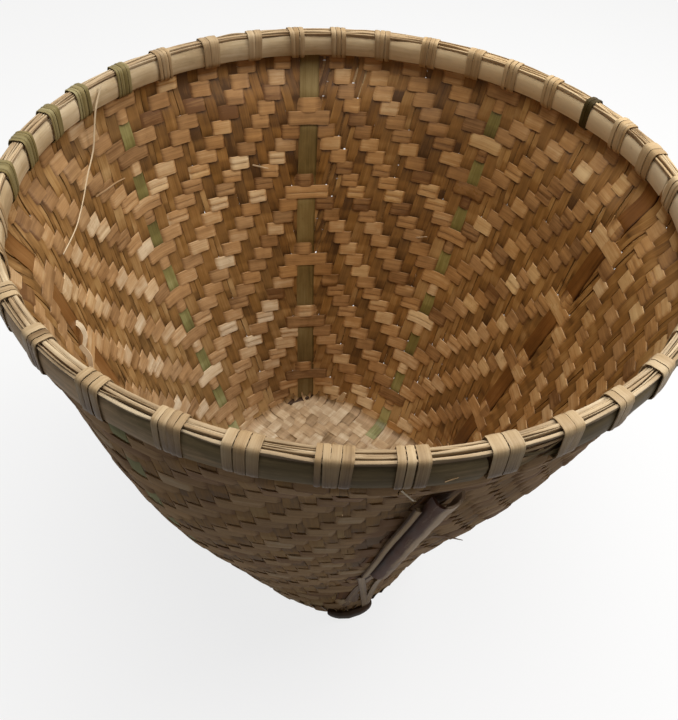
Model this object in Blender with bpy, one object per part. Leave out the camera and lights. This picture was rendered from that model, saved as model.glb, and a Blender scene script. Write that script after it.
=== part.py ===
"""Closely woven burden basket of split bamboo: round mouth, tapering walls, square base.

The frame is metres with +Z up. The basket stands on its four corner feet at z = 0, the origin
is the middle of the footprint, and the corner with the half-culm guard faces -Y.
"""

import math

import bmesh
import bpy
from mathutils import Matrix, Vector
from mathutils.bvhtree import BVHTree

# Gap that is left between two pieces that touch on the real basket.
CLEARANCE = 0.0003
# Gap between the faceted wall and a strip that lies on it.
SEAT_GAP = 0.0005

# Rim: two split hoops that clamp the edge of the wall, with filler splints on top.
MOUTH_RADIUS = 0.220
HOOP_HEIGHT = 0.0169
INNER_HOOP_WALL = 0.0035
OUTER_HOOP_WALL = 0.0042
OUTER_HOOP_START = 296.0
OUTER_HOOP_SPAN = 348.6
FILLER_HEIGHT = 0.0022
FILLER_EDGE = 0.0003

# Wall: its thickness, the rises between its named levels, and how far inside the rim it lies
# at each of them, in the middle of a side and at a corner.
WALL = 0.0024
HEEL_RISE = 0.0540
WAIST_RISE = 0.0900
BELLY_RISE = 0.0900
SHOULDER_RISE = 0.0720
NECK_RISE = 0.0282
UNDER_RIM = 0.0060
BASE_SIDE_IN = 0.1172
BASE_CORNER_IN = 0.1017
HEEL_SIDE_IN = 0.0941
HEEL_CORNER_IN = 0.0936
WAIST_SIDE_IN = 0.0566
WAIST_CORNER_IN = 0.0661
BELLY_SIDE_IN = 0.0248
BELLY_CORNER_IN = 0.0374
SHOULDER_SIDE_IN = 0.0061
SHOULDER_CORNER_IN = 0.0144

# The basket leans: how far the middle of the base lies from the mouth's axis, and how much
# further than that the middle of the belly bows.
BASE_SHIFT_X = -0.0068
BASE_SHIFT_Y = -0.0057
BELLY_SHIFT_X = -0.0027
BELLY_SHIFT_Y = -0.0035

# Corners: the azimuth of the right-hand one at the base. Towards the rim the corner lines sway
# round the mouth by these angles.
SQUARE_TURN = 8.2
SWAY_MEAN = 1.7
SWAY_ONCE = 2.8
SWAY_ONCE_AT = 260.7
SWAY_TWICE = -0.45

# Twill of the wall: the height of a row of weft, the pitch of the upright stakes at the middle of
# a side, and how much closer each next one stands. A band of two rows and two stakes bows the
# wall in or out by this much, less and less from one end of each fade to the other.
ROW_HEIGHT = 0.010577
STAKE_PITCH = 0.0109
STAKE_PITCH_LOSS = 0.0001
TWILL_BOW = 0.0006
CORNER_FADE_FROM = 0.0400
CORNER_FADE_TO = 0.0260
RIM_FADE = 0.0250
BASE_FADE = 0.0250

# Base panel, inside the foot of the wall.
BASE_THICKNESS = 0.0030

# Corner ribs, flat against the inside of the wall.
RIB_WIDTH = 0.0170
RIB_THICKNESS = 0.0016

# Corner feet, under the edge of the base.
FOOT_HEIGHT = 0.0070
FOOT_LENGTH = 0.0400
FOOT_WIDTH = 0.0120
FOOT_OUTWARD = 0.0055
FOOT_CHAMFER = 0.0020

# Lashings: straps of bamboo skin over the rim, about one step apart, with a slow drift.
LASHING_COUNT = 36
LASHING_START = 2.75
LASHING_WIDTH = 0.0150
LASHING_THICKNESS = 0.0012
DRIFT_ONCE = 2.0
DRIFT_ONCE_AT = 267.5
DRIFT_TWICE = 0.8
DRIFT_TWICE_AT = 83.3
DRIFT_THRICE = 0.8
DRIFT_THRICE_AT = 24.6

# Guard at the front corner: a half culm outside the wall, a splint beside it, and its tie. Its
# ends lie these angles past the corner line.
GUARD_LOW_TURN = 5.0
GUARD_HIGH_TURN = 0.0
GUARD_BOTTOM = 0.1280
GUARD_LENGTH = 0.1960
GUARD_RADIUS = 0.0095
GUARD_WALL = 0.0032
SPLINT_WIDTH = 0.0060
SPLINT_THICKNESS = 0.0050
SPLINT_SHORTER = 0.0120
TIE_WIDTH = 0.0140
TIE_THICKNESS = 0.0018
TIE_OVER_FOOT = 0.0030

# Facets: stations round the basket, and the least number of levels up the wall.
AROUND = 96
LEVELS = 25
CULM_ARC_STEPS = 10
FOOT_STEPS = 8
FRAME_STEPS = 20

# Heights above the surface that the basket stands on.
HEEL_Z = FOOT_HEIGHT + HEEL_RISE
WAIST_Z = HEEL_Z + WAIST_RISE
BELLY_Z = WAIST_Z + BELLY_RISE
SHOULDER_Z = BELLY_Z + SHOULDER_RISE
NECK_Z = SHOULDER_Z + NECK_RISE
HOOP_BOTTOM = NECK_Z + UNDER_RIM
HOOP_TOP = HOOP_BOTTOM + HOOP_HEIGHT
FILLER_BOTTOM = HOOP_TOP + CLEARANCE
FILLER_TOP = FILLER_BOTTOM + FILLER_HEIGHT
FLOOR_TOP = FOOT_HEIGHT + BASE_THICKNESS

# Radii of the rim, from the inside out.
INNER_HOOP_OUTSIDE = MOUTH_RADIUS + INNER_HOOP_WALL
RIM_INSIDE = INNER_HOOP_OUTSIDE + CLEARANCE
RIM_MIDDLE = RIM_INSIDE + WALL / 2
RIM_OUTSIDE = RIM_INSIDE + WALL
OUTER_HOOP_INSIDE = RIM_OUTSIDE + CLEARANCE
OUTER_HOOP_OUTSIDE = OUTER_HOOP_INSIDE + OUTER_HOOP_WALL

BASE_CORNER = RIM_MIDDLE - BASE_CORNER_IN
WALL_STATIONS = (
    (FOOT_HEIGHT, RIM_MIDDLE - BASE_SIDE_IN, BASE_CORNER),
    (HEEL_Z, RIM_MIDDLE - HEEL_SIDE_IN, RIM_MIDDLE - HEEL_CORNER_IN),
    (WAIST_Z, RIM_MIDDLE - WAIST_SIDE_IN, RIM_MIDDLE - WAIST_CORNER_IN),
    (BELLY_Z, RIM_MIDDLE - BELLY_SIDE_IN, RIM_MIDDLE - BELLY_CORNER_IN),
    (SHOULDER_Z, RIM_MIDDLE - SHOULDER_SIDE_IN, RIM_MIDDLE - SHOULDER_CORNER_IN),
    (NECK_Z, RIM_MIDDLE, RIM_MIDDLE),
    (HOOP_TOP, RIM_MIDDLE, RIM_MIDDLE),
)

STRAW = (0.42, 0.29, 0.16)
TAN = (0.33, 0.20, 0.09)
RIB_BROWN = (0.13, 0.08, 0.04)
PALE_SKIN = (0.52, 0.42, 0.27)
OLIVE_SKIN = (0.09, 0.08, 0.05)
CULM_BROWN = (0.10, 0.06, 0.04)
FOOT_RED = (0.08, 0.03, 0.02)


def steady_slopes(xs, ys):
    """Slopes at the stations that let a cubic pass through them without a bump between."""
    steps = [b - a for a, b in zip(xs, xs[1:])]
    rises = [(b - a) / h for a, b, h in zip(ys, ys[1:], steps)]
    slopes = [rises[0]]
    for before, after, h0, h1 in zip(rises, rises[1:], steps, steps[1:]):
        if before * after <= 0:
            slopes.append(0.0)
            continue
        w0 = 2 * h1 + h0
        w1 = h1 + 2 * h0
        slopes.append((w0 + w1) / (w0 / before + w1 / after))
    return slopes + [rises[-1]]


def through(xs, ys, x):
    """Value at x of the smooth curve through the stations."""
    x = min(max(x, xs[0]), xs[-1])
    slopes = steady_slopes(xs, ys)
    i = max(k for k in range(len(xs) - 1) if xs[k] <= x)
    h = xs[i + 1] - xs[i]
    s = (x - xs[i]) / h
    value = ys[i] * (1 + 2 * s) * (1 - s) ** 2
    value += ys[i + 1] * s * s * (3 - 2 * s)
    value += h * slopes[i] * s * (1 - s) ** 2
    value += h * slopes[i + 1] * s * s * (s - 1)
    return value


def sway(angle):
    """How far the wall at this angle from the right-hand corner has turned at the rim, in degrees."""
    once = SWAY_ONCE * math.cos(math.radians(angle - SWAY_ONCE_AT))
    return SWAY_MEAN + once + SWAY_TWICE * math.cos(math.radians(2 * angle))


def turned(z):
    """Share of the sway that is reached at this height."""
    return (z - FOOT_HEIGHT) / (HOOP_TOP - FOOT_HEIGHT)


def corner_azimuth(quarter, z):
    """Azimuth of a corner line in degrees. The quarters count from the right-hand corner."""
    angle = 90.0 * quarter
    return SQUARE_TURN + angle + sway(angle) * turned(z)


def wall_radius(azimuth, z):
    """Radius of the middle of the wall: a superellipse that turns from a round mouth to a square base."""
    heights, sides, corners = zip(*WALL_STATIONS)
    side = through(heights, sides, z)
    corner = through(heights, corners, z)
    angle = azimuth - SQUARE_TURN
    angle -= sway(angle) * turned(z)
    power = 1 / (0.5 - math.log2(corner / side))
    along = abs(math.cos(math.radians(angle + 45))) ** power
    across = abs(math.sin(math.radians(angle + 45))) ** power
    return side * (along + across) ** (-1 / power)


def polar(radius, azimuth, z):
    turn = math.radians(azimuth)
    return Vector((radius * math.cos(turn), radius * math.sin(turn), z))


def azimuth_of(point):
    return math.degrees(math.atan2(point.y, point.x))


def wall_centre(z):
    """Middle of the wall's section, as a shift from the mouth's axis. It is none at the rim."""
    share = max(0.0, (NECK_Z - z) / (NECK_Z - FOOT_HEIGHT))
    bow = math.sin(math.pi * share)
    x = BASE_SHIFT_X * share + BELLY_SHIFT_X * bow
    y = BASE_SHIFT_Y * share + BELLY_SHIFT_Y * bow
    return Vector((x, y, 0))


def on_wall(azimuth, z, offset=0.0):
    """Point this far out from the middle of the wall."""
    return wall_centre(z) + polar(wall_radius(azimuth, z) + offset, azimuth, z)


def eased(share):
    share = min(max(share, 0.0), 1.0)
    return share * share * (3 - 2 * share)


def twill_bow(azimuth, z):
    """How far the bands of the twill push the wall out here. They mirror at each side's middle."""
    quarter = math.floor((azimuth - corner_azimuth(0, z)) / 90)
    here = on_wall(azimuth, z)
    middle = on_wall(corner_azimuth(quarter + 0.5, z), z)
    ends = [on_wall(corner_azimuth(quarter + end, z), z) for end in (0, 1)]
    from_corner = min((here - end).length for end in ends)
    aside = (here - middle).length
    room = STAKE_PITCH ** 2 - 4 * STAKE_PITCH_LOSS * aside
    stakes = (STAKE_PITCH - math.sqrt(max(room, 0.0))) / (2 * STAKE_PITCH_LOSS)
    rows = (FILLER_TOP - z) / ROW_HEIGHT - 0.5
    band = -math.cos(2 * math.pi * (stakes + rows - 2.5) / 4)
    fade = eased((from_corner - CORNER_FADE_TO) / (CORNER_FADE_FROM - CORNER_FADE_TO))
    fade *= eased((NECK_Z - z) / RIM_FADE) * eased((z - FOOT_HEIGHT) / BASE_FADE)
    return TWILL_BOW * band * fade


def flat_inside(radius, width):
    """Distance from the axis of a flat strip of this width whose edges touch a ring from inside."""
    return math.sqrt(radius ** 2 - (width / 2) ** 2)


def material(name, colour, roughness):
    finish = bpy.data.materials.new(name)
    finish.use_nodes = True
    shader = finish.node_tree.nodes["Principled BSDF"]
    shader.inputs["Base Color"].default_value = (*colour, 1.0)
    shader.inputs["Roughness"].default_value = roughness
    shader.inputs["Metallic"].default_value = 0.0
    return finish


def add_object(name, mesh, colour, roughness):
    """Puts the mesh into the scene as one named piece with a material of its own."""
    mesh.materials.append(material(name, colour, roughness))
    piece = bpy.data.objects.new(name, mesh)
    bpy.context.scene.collection.objects.link(piece)
    return piece


def finished_mesh(name, bm, smooth=False):
    bmesh.ops.recalc_face_normals(bm, faces=bm.faces)
    for face in bm.faces:
        face.smooth = smooth
    mesh = bpy.data.meshes.new(name)
    bm.to_mesh(mesh)
    bm.free()
    return mesh


def wall_levels(bottom, top):
    """Heights to loft between: the wall's own levels, and even steps between them."""
    step = (HOOP_TOP - FOOT_HEIGHT) / LEVELS
    heights = [station[0] for station in WALL_STATIONS]
    levels = [bottom]
    for low, high in zip(heights, heights[1:]):
        count = max(1, round((high - low) / step))
        levels += [low + (high - low) * k / count for k in range(1, count + 1)]
    inside = [z for z in levels[1:] if bottom + step / 4 < z < top - step / 4]
    return [bottom] + inside + [top]


def turned_section(outline, start, span):
    """A closed outline of (radius, z) points, turned round the axis through span degrees."""
    bm = bmesh.new()
    face = bm.faces.new([bm.verts.new(polar(radius, start, z)) for radius, z in outline])
    whole = span >= 360
    bmesh.ops.spin(
        bm,
        geom=[face] if not whole else list(face.edges),
        cent=(0, 0, 0),
        axis=(0, 0, 1),
        angle=math.radians(span),
        steps=max(1, round(AROUND * span / 360)),
        use_merge=whole,
    )
    if whole:
        bmesh.ops.delete(bm, geom=[face], context="FACES_ONLY")
    return bm


def spun_bar(name, outline, start, span, colour, roughness):
    bm = turned_section(outline, start, span)
    return add_object(name, finished_mesh(name, bm, smooth=True), colour, roughness)


def make_wall():
    """The wall's section is turned round a circle, and each point then set out to its place.

    Each facet is split along its band of the twill.
    """
    levels = wall_levels(FOOT_HEIGHT, HOOP_TOP)
    outside = [(MOUTH_RADIUS + WALL / 2, z) for z in levels]
    inside = [(MOUTH_RADIUS - WALL / 2, z) for z in reversed(levels)]
    bm = turned_section(outside + inside, SQUARE_TURN, 360)
    bows = {}
    for point in bm.verts:
        offset = point.co.xy.length - MOUTH_RADIUS
        azimuth = azimuth_of(point.co)
        bows[point] = twill_bow(azimuth, point.co.z)
        point.co = on_wall(azimuth, point.co.z, offset + bows[point])
    for face in list(bm.faces):
        a, b, c, d = face.verts
        along_band = abs(bows[a] - bows[c]) <= abs(bows[b] - bows[d])
        bmesh.utils.face_split(face, *((a, c) if along_band else (b, d)))
    mesh = finished_mesh("woven_wall", bm, smooth=True)
    return add_object("woven_wall", mesh, TAN, 0.7)


def make_base():
    """The base is a flat panel with the outline of the wall's inside."""
    bm = bmesh.new()
    start = Matrix.Rotation(math.radians(SQUARE_TURN), 4, "Z")
    bmesh.ops.create_circle(bm, cap_ends=True, segments=AROUND, radius=MOUTH_RADIUS, matrix=start)
    for point in bm.verts:
        point.co = on_wall(azimuth_of(point.co), FOOT_HEIGHT, -WALL / 2 - CLEARANCE)
    made = bmesh.ops.extrude_face_region(bm, geom=list(bm.faces))["geom"]
    raised = [item for item in made if isinstance(item, bmesh.types.BMVert)]
    bmesh.ops.translate(bm, verts=raised, vec=(0, 0, BASE_THICKNESS))
    return add_object("woven_base", finished_mesh("woven_base", bm), STRAW, 0.7)


def box_outline(inside, outside, bottom, top):
    return [(inside, bottom), (outside, bottom), (outside, top), (inside, top)]


def make_hoops():
    inner = box_outline(MOUTH_RADIUS, INNER_HOOP_OUTSIDE, HOOP_BOTTOM, HOOP_TOP)
    outer = box_outline(OUTER_HOOP_INSIDE, OUTER_HOOP_OUTSIDE, HOOP_BOTTOM, HOOP_TOP)
    spun_bar("inner_hoop", inner, SQUARE_TURN, 360, PALE_SKIN, 0.45)
    spun_bar("outer_hoop", outer, OUTER_HOOP_START, OUTER_HOOP_SPAN, OLIVE_SKIN, 0.45)


def make_fillers():
    """Three splints lie side by side on top of the hoops and the edge of the wall."""
    names = ("rim_filler_inner", "rim_filler_middle", "rim_filler_outer")
    inside = MOUTH_RADIUS + FILLER_EDGE
    outside = OUTER_HOOP_OUTSIDE - FILLER_EDGE
    pitch = (outside - inside + CLEARANCE) / len(names)
    for number, name in enumerate(names):
        near = inside + number * pitch
        far = near + pitch - CLEARANCE
        outline = box_outline(near, far, FILLER_BOTTOM, FILLER_TOP)
        spun_bar(name, outline, SQUARE_TURN, 360, PALE_SKIN, 0.6)


def lashing_outline():
    """A strap that crosses the rim and tucks in to the wall under both hoops, as (radius, z)."""
    inner_back = flat_inside(MOUTH_RADIUS, LASHING_WIDTH) - CLEARANCE
    inner_face = inner_back - LASHING_THICKNESS
    outer_back = OUTER_HOOP_OUTSIDE + CLEARANCE
    outer_face = outer_back + LASHING_THICKNESS
    inner_tuck = flat_inside(RIM_INSIDE, LASHING_WIDTH) - CLEARANCE
    outer_tuck = RIM_OUTSIDE + CLEARANCE
    over = FILLER_TOP + CLEARANCE
    crown = over + LASHING_THICKNESS
    tuck_top = HOOP_BOTTOM - CLEARANCE
    tuck_bottom = tuck_top - LASHING_THICKNESS
    return [
        (inner_face, tuck_bottom),
        (inner_face, crown),
        (outer_face, crown),
        (outer_face, tuck_bottom),
        (outer_tuck, tuck_bottom),
        (outer_tuck, tuck_top),
        (outer_back, tuck_top),
        (outer_back, over),
        (inner_back, over),
        (inner_back, tuck_top),
        (inner_tuck, tuck_top),
        (inner_tuck, tuck_bottom),
    ]


def lashing_azimuth(number):
    even = LASHING_START + 360.0 * number / LASHING_COUNT
    round_trip = math.radians(360.0 * number / LASHING_COUNT)
    drift = DRIFT_ONCE * math.cos(round_trip - math.radians(DRIFT_ONCE_AT))
    drift += DRIFT_TWICE * math.cos(2 * (round_trip - math.radians(DRIFT_TWICE_AT)))
    drift += DRIFT_THRICE * math.cos(3 * (round_trip - math.radians(DRIFT_THRICE_AT)))
    return even + drift


def make_lashings():
    bm = bmesh.new()
    edge = LASHING_WIDTH / 2
    points = [bm.verts.new((radius, -edge, z)) for radius, z in lashing_outline()]
    face = bm.faces.new(points)
    made = bmesh.ops.extrude_face_region(bm, geom=[face])["geom"]
    far = [item for item in made if isinstance(item, bmesh.types.BMVert)]
    bmesh.ops.translate(bm, verts=far, vec=(0, LASHING_WIDTH, 0))
    mesh = finished_mesh("rim_lashing", bm)
    for number in range(LASHING_COUNT):
        name = f"rim_lashing_{number + 1:02d}"
        strap = add_object(name, mesh if number == 0 else mesh.copy(), PALE_SKIN, 0.5)
        strap.rotation_euler.z = math.radians(lashing_azimuth(number))


def lofted(name, sections, colour, roughness):
    """A solid bar through sections that are closed outlines of points."""
    bm = bmesh.new()
    faces = [bm.faces.new([bm.verts.new(point) for point in section]) for section in sections]
    rims = [list(face.edges) for face in faces]
    for one, other in zip(rims, rims[1:]):
        bmesh.ops.bridge_loops(bm, edges=one + other)
    bmesh.ops.delete(bm, geom=faces[1:-1], context="FACES_ONLY")
    return add_object(name, finished_mesh(name, bm), colour, roughness)


def strip_on_wall(name, azimuth, levels, width, near, far, colour, roughness):
    """A flat strip that runs up the wall. near and far are its faces' offsets from the wall's middle."""
    def corner(z, side, offset):
        middle = azimuth(z)
        angle = middle + side * math.degrees(width / 2 / wall_radius(middle, z))
        return on_wall(angle, z, offset)

    sides = ((-1, near), (1, near), (1, far), (-1, far))
    sections = [[corner(z, side, offset) for side, offset in sides] for z in levels]
    return lofted(name, sections, colour, roughness)


def make_ribs():
    names = ("corner_rib_right", "corner_rib_back", "corner_rib_left", "corner_rib_front")
    levels = wall_levels(FLOOR_TOP + CLEARANCE, NECK_Z)
    near = -WALL / 2 - SEAT_GAP
    for quarter, name in enumerate(names):
        strip_on_wall(
            name,
            lambda z, quarter=quarter: corner_azimuth(quarter, z),
            levels,
            RIB_WIDTH,
            near - RIB_THICKNESS,
            near,
            RIB_BROWN,
            0.55,
        )


def make_feet():
    """Each foot is a short bar bent round a corner of the base, flat underneath."""
    names = ("corner_foot_right", "corner_foot_back", "corner_foot_left", "corner_foot_front")
    top = FOOT_HEIGHT - CLEARANCE
    inside = FOOT_OUTWARD - FOOT_WIDTH
    outline = (
        (inside + FOOT_CHAMFER, 0),
        (FOOT_OUTWARD - FOOT_CHAMFER, 0),
        (FOOT_OUTWARD, FOOT_CHAMFER),
        (FOOT_OUTWARD, top - FOOT_CHAMFER),
        (FOOT_OUTWARD - FOOT_CHAMFER, top),
        (inside, top),
        (inside, FOOT_CHAMFER),
    )
    half_turn = math.degrees(FOOT_LENGTH / 2 / (BASE_CORNER + FOOT_OUTWARD))
    for quarter, name in enumerate(names):
        middle = corner_azimuth(quarter, FOOT_HEIGHT)
        sections = []
        for step in range(FOOT_STEPS + 1):
            azimuth = middle + half_turn * (2 * step / FOOT_STEPS - 1)
            edge = on_wall(azimuth, FOOT_HEIGHT)
            sections.append([edge + polar(out, azimuth, z - FOOT_HEIGHT) for out, z in outline])
        lofted(name, sections, FOOT_RED, 0.5)


def guard_frame(wall, turns, bottom, length, feet):
    """Matrix of a straight piece that lies on the wall by the front corner line, low end first.

    Its X points out from the wall, its Y round the basket and its Z up along the piece. feet are
    the distances aside, along Y, where its back comes within one clearance of the wall.
    """
    ends = []
    for turn, z in zip(turns, (bottom, bottom + length)):
        ends.append(on_wall(corner_azimuth(3, z) + turn, z, WALL / 2))
    low = ends[0]
    upward = (ends[1] - low).normalized()
    aside = Vector((0, 0, 1)).cross(low + ends[1]).normalized()
    outward = aside.cross(upward).normalized()
    aside = upward.cross(outward)
    matrix = Matrix((outward, aside, upward)).transposed().to_4x4()
    matrix.translation = low

    mesh = wall.data
    faces = [tuple(face.vertices) for face in mesh.polygons]
    skin = BVHTree.FromPolygons([point.co for point in mesh.vertices], faces)
    heights = []
    for step in range(FRAME_STEPS + 1):
        for foot in feet:
            start = matrix @ Vector((MOUTH_RADIUS, foot, length * step / FRAME_STEPS))
            distance = skin.ray_cast(start, -outward)[3]
            heights.append(MOUTH_RADIUS - distance)
    matrix.translation = low + outward * (max(heights) + CLEARANCE)
    return matrix


def straight_piece(name, outline, length, matrix, colour, roughness):
    """Extrudes an outline of (outward, aside) points along the piece's own Z."""
    bm = bmesh.new()
    face = bm.faces.new([bm.verts.new((x, y, 0)) for x, y in outline])
    made = bmesh.ops.extrude_face_region(bm, geom=[face])["geom"]
    far = [item for item in made if isinstance(item, bmesh.types.BMVert)]
    bmesh.ops.translate(bm, verts=far, vec=(0, 0, length))
    piece = add_object(name, finished_mesh(name, bm), colour, roughness)
    piece.matrix_world = matrix
    return piece


def make_guard(wall):
    """A half culm with its hollow side to the wall, the splint at its left, and the tie below."""
    arc = [math.pi * (step / CULM_ARC_STEPS - 0.5) for step in range(CULM_ARC_STEPS + 1)]
    bore = GUARD_RADIUS - GUARD_WALL
    outline = [(GUARD_RADIUS * math.cos(a), GUARD_RADIUS * math.sin(a)) for a in arc]
    outline += [(bore * math.cos(a), bore * math.sin(a)) for a in reversed(arc)]
    edges = (bore, (bore + GUARD_RADIUS) / 2, GUARD_RADIUS)
    feet = [-edge for edge in edges] + list(edges)
    turns = (GUARD_LOW_TURN, GUARD_HIGH_TURN)
    matrix = guard_frame(wall, turns, GUARD_BOTTOM, GUARD_LENGTH, feet)
    straight_piece("corner_guard", outline, GUARD_LENGTH, matrix, CULM_BROWN, 0.5)
    tie_top = (matrix @ Vector((GUARD_RADIUS, 0, 0))).z - CLEARANCE

    edge = SPLINT_WIDTH / 2
    outline = box_outline(0, SPLINT_THICKNESS, -edge, edge)
    length = GUARD_LENGTH - SPLINT_SHORTER
    beside = GUARD_RADIUS + CLEARANCE + edge
    matrix = matrix @ Matrix.Translation((0, -beside, 0))
    straight_piece("guard_splint", outline, length, matrix, PALE_SKIN, 0.6)

    def tie_azimuth(z):
        return corner_azimuth(3, z) + GUARD_LOW_TURN * (z - FOOT_HEIGHT) / (tie_top - FOOT_HEIGHT)

    strip_on_wall(
        "guard_tie",
        tie_azimuth,
        wall_levels(FOOT_HEIGHT + TIE_OVER_FOOT, tie_top),
        TIE_WIDTH,
        WALL / 2 + SEAT_GAP,
        WALL / 2 + SEAT_GAP + TIE_THICKNESS,
        PALE_SKIN,
        0.6,
    )


for old in list(bpy.data.objects):
    bpy.data.objects.remove(old, do_unlink=True)
wall = make_wall()
make_base()
make_ribs()
make_hoops()
make_fillers()
make_lashings()
make_feet()
make_guard(wall)
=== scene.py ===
# An old carrying basket of split bamboo, stood on the floor and seen from above its front corner.
import math

import bmesh
import bpy
import numpy as np
from mathutils import Matrix, Vector


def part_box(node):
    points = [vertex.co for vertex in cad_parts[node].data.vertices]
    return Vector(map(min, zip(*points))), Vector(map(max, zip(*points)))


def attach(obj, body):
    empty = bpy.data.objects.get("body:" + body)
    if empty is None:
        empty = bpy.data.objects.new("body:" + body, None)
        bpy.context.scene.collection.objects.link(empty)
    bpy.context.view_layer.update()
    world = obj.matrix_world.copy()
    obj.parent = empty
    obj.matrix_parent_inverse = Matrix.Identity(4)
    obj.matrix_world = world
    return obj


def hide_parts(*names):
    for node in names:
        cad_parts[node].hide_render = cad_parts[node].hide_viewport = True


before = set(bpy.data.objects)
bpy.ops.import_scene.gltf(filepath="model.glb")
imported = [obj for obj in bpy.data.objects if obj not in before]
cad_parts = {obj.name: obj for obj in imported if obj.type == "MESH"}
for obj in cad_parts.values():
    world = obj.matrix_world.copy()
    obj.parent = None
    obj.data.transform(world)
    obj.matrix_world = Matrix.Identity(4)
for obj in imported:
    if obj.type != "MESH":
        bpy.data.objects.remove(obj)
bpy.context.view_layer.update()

# The camera looks down over the front corner from close by, so the near rim looks far wider than
# the back one. Its place follows from the rim's ellipse and the lines of the corner ribs.
EYE = Vector((-0.0319, -0.4309, 0.6448))
AIM = Vector((-0.0056, -0.0822, 0.2786))
ROLL = math.radians(4.64)
lens = bpy.data.cameras.new("view")
lens.sensor_fit = "VERTICAL"
lens.sensor_height = 24.0
lens.lens = 25.33
camera = bpy.data.objects.new("camera", lens)
look = (AIM - EYE).to_track_quat("-Z", "Y").to_matrix().to_4x4()
camera.matrix_world = Matrix.Translation(EYE) @ look @ Matrix.Rotation(ROLL, 4, "Z")
bpy.context.scene.collection.objects.link(camera)
bpy.context.scene.camera = camera


# The wall's weft: flat strips, split from the culm and shaved about a millimetre thin, that go
# round the basket in rows. Each passes over two stakes and under two, one stake further on in
# every row, and the steps mirror at the middle of each side and at the corners.
FOOT_TOP = 0.0070
NECK = 0.3412
WALL_TOP = 0.3641
RIM_MIDDLE = 0.2250
LEVEL_Z = np.array([FOOT_TOP, 0.0610, 0.1510, 0.2410, 0.3130, NECK, WALL_TOP])
SIDE_RADIUS = np.array([0.1078, 0.1309, 0.1684, 0.2002, 0.2189, RIM_MIDDLE, RIM_MIDDLE])
CORNER_RADIUS = np.array([0.1233, 0.1314, 0.1589, 0.1876, 0.2106, RIM_MIDDLE, RIM_MIDDLE])
SQUARE_TURN = 8.2
SWAY_MEAN = 1.7
SWAY_ONCE = 2.8
SWAY_ONCE_AT = 260.7
SWAY_TWICE = 0.45
BASE_SHIFT_X = -0.0068
BASE_SHIFT_Y = -0.0057
BELLY_SHIFT_X = -0.0027
BELLY_SHIFT_Y = -0.0035
PRESSED_IN = 0.0045

ROWS = 34
STEPS = 4
LEVELS = ROWS * STEPS
WEAVE_TOP = 0.3666
ROW = (WEAVE_TOP - FOOT_TOP) / ROWS
WEFT_WIDTH = 0.0104
WEFT_THICKNESS = 0.0009
WEFT_BOW = 0.00115
WEFT_CROWN = 0.00040
WEFT_TILT = 0.00050
STAKES_AT_RIM = 18
STAKE_PITCH = 0.0110
PITCH_LOSS = 0.0001
HALF_RIB = 0.0085
STAKE_ROOM = 0.0030
REPEAT = 4
RIB_REPEAT = 6
TWIN_SHIFT = 0.255
UPPER_ROWS = 15


def through(xs, ys, x):
    """Values at x of the curve that passes the stations with no bump between them."""
    step = np.diff(xs)
    rise = np.diff(ys) / step
    safe = np.where(rise == 0, 1.0, rise)
    slope = np.concatenate([rise[:1], np.zeros(len(xs) - 2), rise[-1:]])
    near = 2 * step[1:] + step[:-1]
    far = step[1:] + 2 * step[:-1]
    mean = (near + far) / (near / safe[:-1] + far / safe[1:])
    slope[1:-1] = np.where(rise[:-1] * rise[1:] > 0, mean, 0.0)
    x = np.clip(x, xs[0], xs[-1])
    i = np.clip(np.searchsorted(xs, x, side="right") - 1, 0, len(step) - 1)
    h = step[i]
    s = (x - xs[i]) / h
    value = ys[i] * (1 + 2 * s) * (1 - s) ** 2 + ys[i + 1] * s * s * (3 - 2 * s)
    return value + h * slope[i] * s * (1 - s) ** 2 + h * slope[i + 1] * s * s * (s - 1)


def eased(share):
    """0 below 0, 1 above 1, and a smooth rise between them."""
    share = np.clip(share, 0, 1)
    return share * share * (3 - 2 * share)


def on_wall(corner_angle, z, out=0.0):
    """Points on the wall. The angle counts in degrees from the right-hand corner's line.

    The mouth is round and the base nearly square. The basket leans, and its corner lines sway on
    their way up. Low down to the right of the guard, use has pressed the wall in a little.
    """
    side = through(LEVEL_Z, SIDE_RADIUS, z)
    corner = through(LEVEL_Z, CORNER_RADIUS, z)
    power = 1 / (0.5 - np.log2(corner / side))
    turn = np.radians(corner_angle + 45)
    sum_of_powers = np.abs(np.cos(turn)) ** power + np.abs(np.sin(turn)) ** power
    radius = side * sum_of_powers ** (-1 / power) + out
    pressed = eased((corner_angle % 360 - 274) / 16) * eased((320 - corner_angle % 360) / 18)
    pressed = pressed * eased((z - 0.010) / 0.05) * eased((0.20 - z) / 0.09)
    radius = radius - PRESSED_IN * pressed
    share = (z - FOOT_TOP) / (WALL_TOP - FOOT_TOP)
    once = SWAY_ONCE * np.cos(np.radians(corner_angle - SWAY_ONCE_AT))
    sway = SWAY_MEAN + once - SWAY_TWICE * np.cos(np.radians(2 * corner_angle))
    azimuth = np.radians(SQUARE_TURN + corner_angle + sway * share)
    depth = np.clip((NECK - z) / (NECK - FOOT_TOP), 0, None)
    bow = np.sin(math.pi * depth)
    x = radius * np.cos(azimuth) + BASE_SHIFT_X * depth + BELLY_SHIFT_X * bow
    y = radius * np.sin(azimuth) + BASE_SHIFT_Y * depth + BELLY_SHIFT_Y * bow
    return np.stack([x, y, z + 0 * x], axis=-1)


# How far it is round the wall to each of the angles, at every quarter of a row.
turns = np.linspace(-45, 405, 1801)
heights = WEAVE_TOP - ROW * np.arange(LEVELS + 1) / STEPS
arcs = []
for height in heights:
    ring = on_wall(turns, np.full(turns.shape, height))
    steps = np.linalg.norm(np.diff(ring, axis=0), axis=1)
    arcs.append(np.concatenate([[0.0], np.cumsum(steps)]))
arcs = np.array(arcs)


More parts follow.
